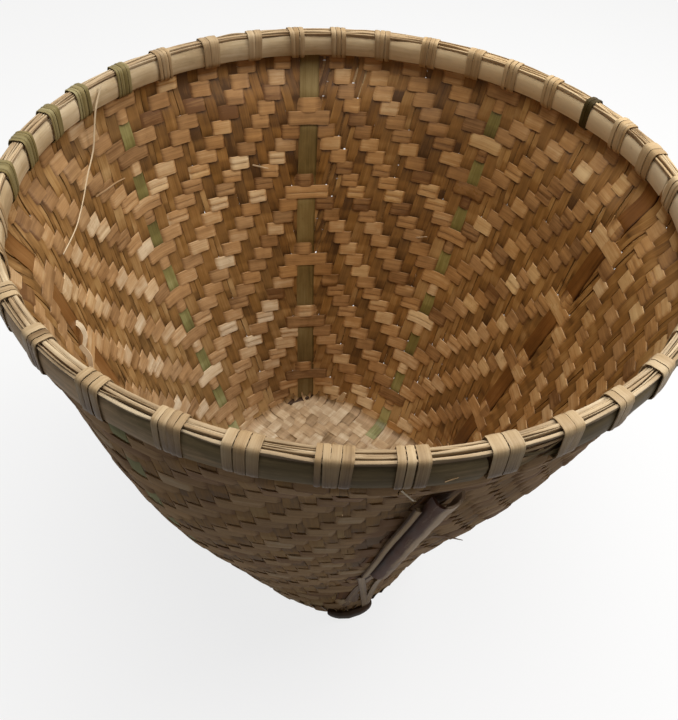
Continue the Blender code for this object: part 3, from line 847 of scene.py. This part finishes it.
# The filler splints: thin split sticks laid side by side on top of the hoops and the weave's
# edge, so that the lashings have a full round rim to pull on. They wander, and gaps stay open. At
# the left they lie close, with one broad slit.
SPLINTS = 6
SPLINT_FROM = 0.2210
SPLINT_TO = 0.2301
SPLINT_PITCH = (SPLINT_TO - SPLINT_FROM) / SPLINTS
SPLINT_LOW = 0.3640
SPLINT_HIGH = 0.3668
SPLINT_CROWN = 0.0005
OUTERMOST_LOWER = 0.0011
RIM_STEPS = 360
SWAYS = 60
CLOSE_FROM = 28
CLOSE_TO = 38
SLIT = 4
SLIT_WIDTH = 0.0017
splint_finish = split_bamboo(
    "splint_bamboo", (78, 56, 34), (160, 133, 97), (202, 178, 138), 0.6, 800.0, 0.5, gloss=0.15
)
gap_sway = chance.normal(0, 0.00045, (SPLINTS + 1, SWAYS + 1)).cumsum(axis=1)
gap_sway = gap_sway - np.linspace(0, 1, SWAYS + 1) * gap_sway[:, -1:]
gap_sway = np.clip(gap_sway, -0.0011, 0.0011)
gap_sway[[0, SPLINTS]] = gap_sway[[0, SPLINTS]] * 0.2
gap_wide = chance.gamma(0.7, 0.00050, (SPLINTS + 1, SWAYS + 1))
rise_sway = chance.normal(0, 0.00045, (SPLINTS, SWAYS + 1))
splint_tone = chance.normal(0.60, 0.13, (SPLINTS, SWAYS + 1))
for table in (gap_wide, rise_sway, splint_tone):
    table[:, -1] = table[:, 0]
gap_wide[1:SPLINTS, CLOSE_FROM:CLOSE_TO] *= 0.12
gap_wide[SLIT, CLOSE_FROM:CLOSE_TO] = SLIT_WIDTH
for pair, name in enumerate(("rim_filler_inner", "rim_filler_middle", "rim_filler_outer")):
    laid = [(number, 0, RIM_STEPS, RIM_STEPS) for number in (2 * pair, 2 * pair + 1)]
    sheet, along, across, raised, number = strips(laid, 3)
    turn = np.radians(along * 359.95 / RIM_STEPS + 13)
    sway = along * SWAYS / RIM_STEPS
    before = np.clip(np.floor(sway).astype(int), 0, SWAYS - 1)
    share = eased(sway - before)
    # A splint's two edges follow the gaps at its sides, which sway and open on their way round.
    gap_inside = between_columns(gap_wide, number, before, share) / 2
    gap_outside = between_columns(gap_wide, number + 1, before, share) / 2
    near = SPLINT_FROM + SPLINT_PITCH * number + between_columns(gap_sway, number, before, share)
    near = near + gap_inside
    far = SPLINT_FROM + SPLINT_PITCH * (number + 1)
    far = far + between_columns(gap_sway, number + 1, before, share) - gap_outside
    far = np.maximum(far, near + 0.0005)
    radius = near + (far - near) * (across + 0.5)
    top = SPLINT_HIGH + between_columns(rise_sway, number, before, share)
    top = top + SPLINT_CROWN * crowned(across)
    top = top - OUTERMOST_LOWER * ((number == 0) | (number == SPLINTS - 1))
    places = round_rim(turn, radius, np.where(raised > 0.5, top, SPLINT_LOW))
    # Painted shade: darker underneath, so the slits between splints look dark. Painted light: paler
    # at the right.
    tone = between_columns(splint_tone, number, before, share) - 0.45 * (raised < 0.5)
    tone = tone + 0.20 * rim_painted_light(np.degrees(turn))
    grain = grain_of(turn * 0.22, across * 0.0016, number * 0.9)
    splints = finished(
        f"{name}_splints", sheet, places, splint_finish, tone=tone, shine=0 * tone, grain=grain,
        smoked=rim_smoke_and_light(places),
    )
    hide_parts(name)


# The lashings: bundles of two to four narrow strips of bamboo skin. Each goes through the weave
# under the hoops, up the inside, over the rim and down the outside, and was pulled tight wet.
LASHINGS = 36
LASHING_WIDTH = 0.0145
STRAND_THICKNESS = 0.0005
STRAND_CROWN = 0.00025
# A lashing's path, from its foot inside the mouth over the rim to its foot outside.
lash_r = np.array([0.2242, 0.2216, 0.2200, 0.2194, 0.2193, 0.2197, 0.2208, 0.2226, 0.2280,
                   0.2299, 0.2308, 0.2310, 0.2309, 0.2304, 0.2288, 0.2262])
lash_z = np.array([0.3446, 0.3454, 0.3472, 0.3510, 0.3590, 0.3645, 0.3672, 0.3680, 0.3680,
                   0.3673, 0.3652, 0.3600, 0.3510, 0.3474, 0.3456, 0.3448])
LAST_KNOT = len(lash_r) - 1
skin_finish = split_bamboo(
    "lashing_skin", (90, 66, 40), (160, 133, 96), (200, 176, 136), 0.55, 1400.0, 0.7, gloss=0.12
)
olive_finish = split_bamboo(
    "lashing_olive_skin", (62, 52, 28), (114, 100, 62), (154, 140, 98), 0.55, 1400.0, 0.7, gloss=0.12
)
slope_r = np.gradient(lash_r)
slope_z = np.gradient(lash_z)
size = np.hypot(slope_r, slope_z)
normal_r = -slope_z / size
normal_z = slope_r / size
BLACKENED = 3
OLIVE_ONES = (BLACKENED, 14, 15, 16, 17, 18)
# The even spacing drifts in waves: how many go round the rim, degrees, and where they are highest.
LASHING_START = 2.75
DRIFTS = ((1, 2.0, 267.5), (2, 0.8, 83.3), (3, 0.8, 24.6))
# By number, counted from 0: the degrees a lashing slipped, its width against the rest, its strands.
SLIPPED = {1: 0.6, 3: -0.5, 6: -0.8, 8: 1.0, 9: 0.8, 11: -1.0, 12: -1.0, 15: 1.2, 18: -0.6,
           22: -0.5, 24: 1.0, 25: -0.4, 27: -0.9, 28: 0.7, 29: 0.5}
WIDER = {3: 0.58, 23: 1.05, 24: 1.08, 25: 1.28, 26: 1.25, 27: 1.12, 28: 1.18, 29: 0.88, 30: 0.78}
STRANDS = {3: 2, 14: 4, 15: 4, 16: 4, 17: 4, 24: 4, 25: 3, 26: 4, 28: 2, 29: 2, 30: 2}
for count in range(LASHINGS):
    around = 360.0 * count / LASHINGS
    azimuth = LASHING_START + around + SLIPPED.get(count, 0)
    for waves, drift, peak in DRIFTS:
        azimuth += drift * math.cos(waves * (math.radians(around) - math.radians(peak)))
    strands = STRANDS.get(count, int(chance.choice((2, 3, 3, 4))))
    full = LASHING_WIDTH * WIDER.get(count, chance.uniform(0.85, 1.05))
    # The strands share the width unevenly, each with a slant of its own, and draw together at the
    # ends of the path.
    shares = chance.uniform(0.7, 1.3, strands)
    edges = np.concatenate([[0], np.cumsum(shares)]) / shares.sum() - 0.5
    laid = [(strand, 0, LAST_KNOT, 2 * LAST_KNOT) for strand in range(strands)]
    sheet, path, across, raised, strand = strips(laid)
    knots = np.arange(LAST_KNOT + 1)
    radius = np.interp(path, knots, lash_r)
    height = np.interp(path, knots, lash_z) - rim_drop(azimuth) * eased((path - 10.5) / 2.5)
    push = (raised - 0.5) * STRAND_THICKNESS + STRAND_CROWN * crowned(across)
    push = push + chance.uniform(0, 0.0003, strands)[strand]
    radius = radius + np.interp(path, knots, normal_r) * push
    height = height + np.interp(path, knots, normal_z) * push
    slant = chance.normal(0, 0.0012) + chance.normal(0, 0.0006, strands)[strand]
    mid = (edges[strand] + edges[strand + 1]) / 2 * full
    parted = chance.uniform(0.0002, 0.0010 if strands < 4 else 0.0004, strands)[strand]
    wide = (edges[strand + 1] - edges[strand]) * full - parted
    from_top = path / (LAST_KNOT / 2) - 1
    gather = 1 - 0.10 * from_top ** 2
    sideways = mid * gather + across * wide * gather + slant * from_top
    turn = math.radians(azimuth) + sideways / RIM_MIDDLE
    places = round_rim(turn, radius, height)
    # Painted light: paler at the right. Painted shade: darker low down on the outside.
    tone = chance.normal(0.55, 0.10, strands)[strand] + 0.20 * rim_painted_light(azimuth)
    tone = tone - 0.36 * eased((0.362 - height) / 0.014) * (radius > 0.226)
    tone = tone - 0.8 * (count == BLACKENED)
    grain = grain_of(path * 0.003, across * wide, strand * 1.9 + count * 0.77)
    finish = olive_finish if count in OLIVE_ONES else skin_finish
    lashing = finished(
        f"lashing_{count + 1:02d}", sheet, places, finish, tone=tone, shine=0.3 + 0 * tone,
        grain=grain, smoked=rim_smoke_and_light(places) + 0.1,
    )
    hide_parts(f"rim_lashing_{count + 1:02d}")


# The feet: short pieces of dark root-end bamboo bent round the corners of the base, rubbed round
# at the ends and worn flat underneath. One end of each has bent up against the wall.
FOOT_HALF_LENGTH = 0.0235
FOOT_HALF_WIDTH = 0.0072
FOOT_HALF_HEIGHT = 0.0052
FOOT_ROUNDING = 0.55
FOOT_TURN = 2.8
FOOT_BEND = 0.0075
FOOT_RUB = 0.0035
FOOT_SHORTER = 0.16
FOOT_THINNER = 0.0044
FOOT_END_OUT = 0.0040
FOOT_OUT = 0.0006
CORNER_AT_FOOT = 0.127
foot_finish = split_bamboo(
    "foot_bamboo", (24, 16, 9), (48, 34, 22), (84, 62, 44), 0.6, 500.0, gloss=0.12
)
for quarter, name in enumerate(CORNERS):
    sheet = bmesh.new()
    bmesh.ops.create_uvsphere(sheet, u_segments=24, v_segments=16, radius=1.0)
    turn_over = Matrix.Rotation(math.pi / 2, 3, "Y")
    bmesh.ops.rotate(sheet, verts=sheet.verts, cent=(0, 0, 0), matrix=turn_over)
    ball = np.array([point.co for point in sheet.verts])
    lengthwise, outward, upward = (np.sign(ball) * np.abs(ball) ** FOOT_ROUNDING).T
    to_end = np.clip(-lengthwise, 0, 1)
    bent = to_end ** 1.5
    along = lengthwise * FOOT_HALF_LENGTH * (1 - FOOT_SHORTER * to_end)
    angle = 90.0 * quarter + FOOT_TURN + np.degrees(along / CORNER_AT_FOOT)
    out = FOOT_OUT + FOOT_END_OUT * bent + (FOOT_HALF_WIDTH - FOOT_THINNER * bent) * outward
    places = on_wall(angle, FOOT_TOP + FOOT_BEND * bent, out)
    places[:, 2] = FOOT_HALF_HEIGHT + FOOT_HALF_HEIGHT * np.clip(upward * 1.1, -1, 1)
    places[:, 2] += FOOT_BEND * bent + FOOT_RUB * to_end * (1 - upward) / 2
    grain = grain_of(lengthwise * 0.02, outward * 0.006, quarter)
    # Painted light: the foot is paler on top and darker underneath.
    tone = 0.45 + 0.15 * upward
    foot = finished(
        f"foot_{name}", sheet, places, foot_finish, tone=tone, shine=0.3 + 0 * tone, grain=grain
    )
    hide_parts(f"corner_foot_{name}")


# The guard: half a thin dark culm, its hollow side to the wall, that keeps the front corner from
# wearing through. A dull splint lies at its left and pale strips tie it down at the foot.
GUARD_LENGTH = 0.1990
GUARD_RADIUS = 0.0095
GUARD_THICKNESS = 0.0016
GUARD_FLATTENED = 0.85
GUARD_STEPS = 40
GUARD_JOINT_AT = 0.42
UNDER_GUARD = (273.0, 276.0)
DULL_WIDTH = 0.0044
DULL_LENGTH = 0.184
TIE_THICKNESS = 0.0008
guard_finish = split_bamboo(
    "guard_culm", (32, 18, 11), (84, 57, 43), (220, 194, 162), 0.6, 350.0, 0.4, gloss=0.06
)
dull_finish = split_bamboo(
    "dull_splint", (70, 54, 40), (164, 138, 106), (204, 184, 152), 0.65, 700.0, gloss=0.1
)


def frame_of(node):
    """Low end of a straight CAD piece on the wall, and its axes out, aside and up."""
    points = np.array([point.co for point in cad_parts[node].data.vertices])
    middle = points.mean(axis=0)
    axes = np.linalg.svd(points - middle, full_matrices=False)[2]
    up = axes[0] * np.sign(axes[0][2])
    # Out is square to the wall under the guard.
    beside = on_wall(np.array(UNDER_GUARD), np.array([middle[2], middle[2]]))
    radial = np.array([beside[1, 1] - beside[0, 1], beside[0, 0] - beside[1, 0], 0.0])
    out = radial - up * (radial @ up)
    out = out / np.linalg.norm(out)
    aside = np.cross(up, out)
    spans = [(points - middle) @ axis for axis in (out, aside, up)]
    low = middle + out * spans[0].min() + up * spans[2].min()
    low = low + aside * (spans[1].min() + spans[1].max()) / 2
    return low, np.array([out, aside, up])


def against_wall(node, outward, sideways, length):
    """Points given along the axes of a straight CAD piece, from its low end."""
    low, axes = frame_of(node)
    return low + np.stack([outward, sideways, length], axis=1) @ axes


sheet, along, across, raised, lane = strips([(0, 0, GUARD_STEPS, GUARD_STEPS)], 14)
share = along / GUARD_STEPS
# Half a tube: what is across the strip becomes the angle round the culm.
bend = across * math.pi
taper = through(np.array([0, 0.5, 0.85, 1.0]), np.array([0.84, 0.84, 0.88, 0.98]), share)
joint = np.exp(-((share - GUARD_JOINT_AT) / 0.012) ** 2) * 0.0003
radius = GUARD_RADIUS * taper + np.where(raised > 0.5, joint, -GUARD_THICKNESS)
radius = radius + 0.0002 * np.sin(share * 40 + 3 * bend)
sideways = radius * np.sin(bend)
length = GUARD_LENGTH * share + 0.0012 * np.sin(3 * bend) * (share > 0.95)
places = against_wall("corner_guard", radius * np.cos(bend) * GUARD_FLATTENED, sideways, length)
# Painted highlight on a face also weathered pale: the right half is pale, less so lower down. Painted
# shade: darker at the left edge. Painted light: the hollow's inside is paler at the right.
tone = 0.40 + 0.65 * eased((np.sin(bend) + 0.50) / 0.4) * (0.40 + 0.60 * eased(share * 1.6))
tone = tone - 0.25 * eased((-0.75 - np.sin(bend)) / 0.2)
tone = tone + (raised < 0.5) * 0.30 * eased((np.sin(bend) + 0.2) / 0.6)
grain = grain_of(length, sideways, 3.3)
guard = finished(
    "guard", sheet, places, guard_finish, tone=tone, shine=0.1 + 0 * tone, grain=grain,
    smoked=0.5 + 0 * tone,
)
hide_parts("corner_guard")

sheet, along, across, raised, lane = strips([(0, 0, GUARD_STEPS, GUARD_STEPS)], 3)
share = along / GUARD_STEPS
outward = np.where(raised > 0.5, 0.0030 - 0.0020 * (across - 0.2) ** 2, 0.0006)
sideways = across * DULL_WIDTH + 0.0005 * np.sin(share * 9)
length = DULL_LENGTH * share - 0.004 * share * (across + 0.5)
places = against_wall("guard_splint", outward, sideways, length)
# Painted shade: the edges are dark, as in the gaps at its sides.
tone = 0.85 + 0.1 * np.sin(share * 12) - 0.8 * (np.abs(across) > 0.45)
grain = grain_of(length, sideways, 4.1)
splint = finished(
    "splint_beside_guard", sheet, places, dull_finish, tone=tone, shine=0 * tone, grain=grain,
    smoked=0.45 + 0 * tone,
)
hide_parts("guard_splint")

# Each strip of the tie has its angle at the foot and at the top, how far it stands off the wall,
# its width and its tone.
TIE_STRIPS = np.array((
    (280.0, 278.5, 0.0034, 0.0066, 0.45),
    (279.5, 269.5, 0.0036, 0.0056, 0.40),
    (270.0, 275.5, 0.0018, 0.0064, 0.25),
    (274.5, 272.0, 0.0012, 0.0060, 0.0),
))
tie_low, tie_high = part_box("guard_tie")
laid = [(number, 0, GUARD_STEPS, GUARD_STEPS) for number in range(len(TIE_STRIPS))]
sheet, along, across, raised, number = strips(laid)
share = along / GUARD_STEPS
foot_angle, top_angle, stand_off, width, tone = TIE_STRIPS[number].T
height = tie_low.z + (tie_high.z - tie_low.z) * share
radius = through(LEVEL_Z, CORNER_RADIUS, height)
angle = foot_angle * (1 - share) + top_angle * share
angle = angle + np.degrees(across * width / radius)
out = stand_off + (raised - 0.5) * TIE_THICKNESS + 0.0003 * crowned(across)
places = on_wall(angle, height, out)
tone = tone - 0.3 * (np.abs(across) > 0.45)
grain = grain_of(height, across * 0.005, number * 1.3)
tie = finished(
    "guard_tie_strips", sheet, places, skin_finish, tone=tone, shine=0 * tone, grain=grain,
    smoked=0.45 + 0 * tone,
)
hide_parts("guard_tie")


# Splinters: fibres that have lifted from the weave with age, and what is left of the broken piece
# of the outer hoop. Each is a fixed sliver with its root in the strip that it came from.
SLIVER_STEPS = 24
SLIVER_THICKNESS = 0.0005


def slivers(name, paths, finish, node):
    """Thin slivers. Each has points, a width, a tone, the tip's share of its width and a twist."""
    laid = [(number, 0, SLIVER_STEPS, SLIVER_STEPS) for number in range(len(paths))]
    sheet, along, across, raised, number = strips(laid, 1)
    share = along / SLIVER_STEPS
    places = np.zeros((len(share), 3))
    for lane, (points, width, tone, blunt, twist) in enumerate(paths):
        here = number == lane
        knots = np.linspace(0, 1, len(points))

        def on_path(part):
            spread = [through(knots, points[:, axis], part) for axis in range(3)]
            return np.stack(spread, axis=1)

        part = share[here]
        forward = on_path(np.minimum(part + 0.02, 1)) - on_path(np.maximum(part - 0.02, 0))
        radial = on_path(part) * (1, 1, 0)
        # Aside lies across the path and face out of the sliver's flat side, both turned by its twist.
        aside = np.cross(forward, radial)
        aside = aside / np.linalg.norm(aside, axis=1)[:, None]
        face = np.cross(aside, forward)
        face = face / np.linalg.norm(face, axis=1)[:, None]
        turned = math.radians(twist)
        aside, face = (
            aside * math.cos(turned) + face * math.sin(turned),
            face * math.cos(turned) - aside * math.sin(turned),
        )
        taper = blunt + (1 - blunt) * (1 - part ** 2)
        offset = (across[here] * width * taper)[:, None] * aside
        offset = offset + ((raised[here] - 0.5) * SLIVER_THICKNESS)[:, None] * face
        places[here] = on_path(part) + offset
    tone = np.array([path[2] for path in paths])[number]
    grain = grain_of(share * 0.03, across * 0.003, number * 0.9)
    made = finished(
        name, sheet, places, finish, tone=tone, shine=0 * tone, grain=grain, smoked=0.3 + 0 * tone
    )
    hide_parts(node)


def wall_path(*points):
    """Points given as angle, height and how far they stand off the wall."""
    angle, height, out = np.array(points).T
    return on_wall(angle, height, out)


def rim_path(*points):
    """Points given as azimuth, radius and height."""
    azimuth, radius, height = np.array(points).T
    return round_rim(np.radians(azimuth), radius, height)


long_fibre = wall_path(
    (140, 0.3641, -0.0066), (143, 0.349, -0.008), (146, 0.323, -0.006), (150.5, 0.312, -0.006),
    (155, 0.301, -0.0055), (161, 0.293, -0.005), (168.5, 0.289, -0.001),
)
curled_fibre = wall_path((149, 0.290, -0.0005), (144, 0.290, -0.004), (138.5, 0.285, -0.0005))
slivers("lifted_fibres", [
    (long_fibre, 0.0013, 0.95, 0.5, 0),
    (curled_fibre, 0.0011, 0.6, 0.5, 0),
    (wall_path((179, 0.258, -0.001), (181, 0.259, -0.006), (183, 0.255, -0.007),
               (184, 0.250, -0.004)), 0.0036, 1.0, 0.8, 60),
    (wall_path((184, 0.251, -0.002), (186, 0.244, -0.005), (187, 0.237, -0.003)),
     0.0044, 0.95, 0.6, 60),
    (wall_path((72, 0.013, -0.002), (69.5, 0.028, -0.006)), 0.006, 1.0, 0.6, 0),
    (wall_path((105, 0.262, -0.001), (101, 0.259, -0.004)), 0.0012, 0.9, 0.3, 0),
    (wall_path((56, 0.20, -0.001), (52, 0.206, -0.004)), 0.0012, 0.9, 0.3, 0),
    (wall_path((262, 0.339, 0.0012), (264.5, 0.323, 0.004), (266.5, 0.308, 0.003)),
     0.0009, 1.0, 0.4, 0),
    (wall_path((279, 0.211, 0.001), (283, 0.205, 0.003), (287.5, 0.196, 0.008)),
     0.0016, 0.1, 0.1, 0),
], weft_finish, "woven_wall")
slivers("hoop_remnants", [
    (rim_path((288.0, 0.2290, 0.3505), (290.2, 0.2285, 0.3510), (292.6, 0.2274, 0.3540)),
     0.0065, 0.62, 0.3, 0),
    (rim_path((288.5, 0.2292, 0.3600), (292.5, 0.2293, 0.3606), (296.6, 0.2288, 0.3612)),
     0.0018, 0.9, 0.8, 0),
    (rim_path((288.5, 0.2280, 0.3565), (292.0, 0.2290, 0.3552), (295.4, 0.2276, 0.3568)),
     0.0020, 0.5, 0.2, 0),
    (rim_path((297.0, 0.2290, 0.3500), (294.6, 0.2284, 0.3496), (292.9, 0.2276, 0.3484)),
     0.0045, 0.4, 0.2, 0),
    (rim_path((279.4, 0.2308, 0.3502), (281.0, 0.2307, 0.3524)), 0.0004, 0.8, 0.3, 0),
], outer_finish, "outer_hoop")


# The studio: a plain pale floor that goes on for ever, a white surround for the camera, and two
# soft lamps.
floor_mesh = bpy.data.meshes.new("floor")
sheet = bmesh.new()
bmesh.ops.create_grid(sheet, x_segments=1, y_segments=1, size=20.0)
sheet.to_mesh(floor_mesh)
sheet.free()
floor = bpy.data.objects.new("floor", floor_mesh)
bpy.context.scene.collection.objects.link(floor)


def seen_directly(any_node):
    """1 where the camera, a reflection or a clear surface shows a thing, and 0 for its light."""
    seen = [any_node.node("ShaderNodeLightPath", output=f"Is {kind} Ray") for kind in
            ("Camera", "Glossy", "Transmission")]
    return seen[0] + seen[1] + seen[2]


floor_finish, shader, any_node = new_finish("floor_paper")
shader.inputs["Base Color"].default_value = (0.16, 0.15, 0.14, 1)
shader.inputs["Roughness"].default_value = 0.9
paper = any_node.node("ShaderNodeBsdfDiffuse", {}, {"Color": (0.8, 0.8, 0.8, 1)})
white = any_node.node("ShaderNodeEmission", {}, {"Color": (1, 1, 1, 1), "Strength": 1.0})
shown = any_node.node("ShaderNodeMixShader", {}, {0: 0.80, 1: paper, 2: white})
tree = floor_finish.node_tree
dull = Signal(tree, shader.outputs["BSDF"])
both = any_node.node("ShaderNodeMixShader", {}, {0: seen_directly(any_node), 1: dull, 2: shown})
tree.links.new(both.socket, tree.nodes["Material Output"].inputs["Surface"])
floor_mesh.materials.append(floor_finish)

world = bpy.data.worlds.new("surround")
bpy.context.scene.world = world
world.use_nodes = True
background = world.node_tree.nodes["Background"]
background.inputs["Color"].default_value = (1.0, 1.0, 1.0, 1)
seen = seen_directly(Signal(world.node_tree, None))
glow = seen * 0.88 + 0.12
world.node_tree.links.new(glow.socket, background.inputs["Strength"])


def lamp(name, place, aim, size, power):
    """A round soft lamp of near-white light, turned to what it lights."""
    light = bpy.data.lights.new(name, "AREA")
    light.shape = "DISK"
    light.size = size
    light.energy = power
    light.color = (1.0, 0.98, 0.95)
    made = bpy.data.objects.new(name, light)
    towards = (Vector(aim) - Vector(place)).to_track_quat("-Z", "Y").to_matrix().to_4x4()
    made.matrix_world = Matrix.Translation(place) @ towards
    bpy.context.scene.collection.objects.link(made)


lamp("window", (1.1, 0.30, 1.45), (-0.05, 0, 0.2), 0.9, 19.0)
lamp("ceiling", (0.0, 0.1, 1.9), (0, 0, 0.0), 1.4, 28.5)
bpy.context.scene.view_settings.view_transform = "Standard"
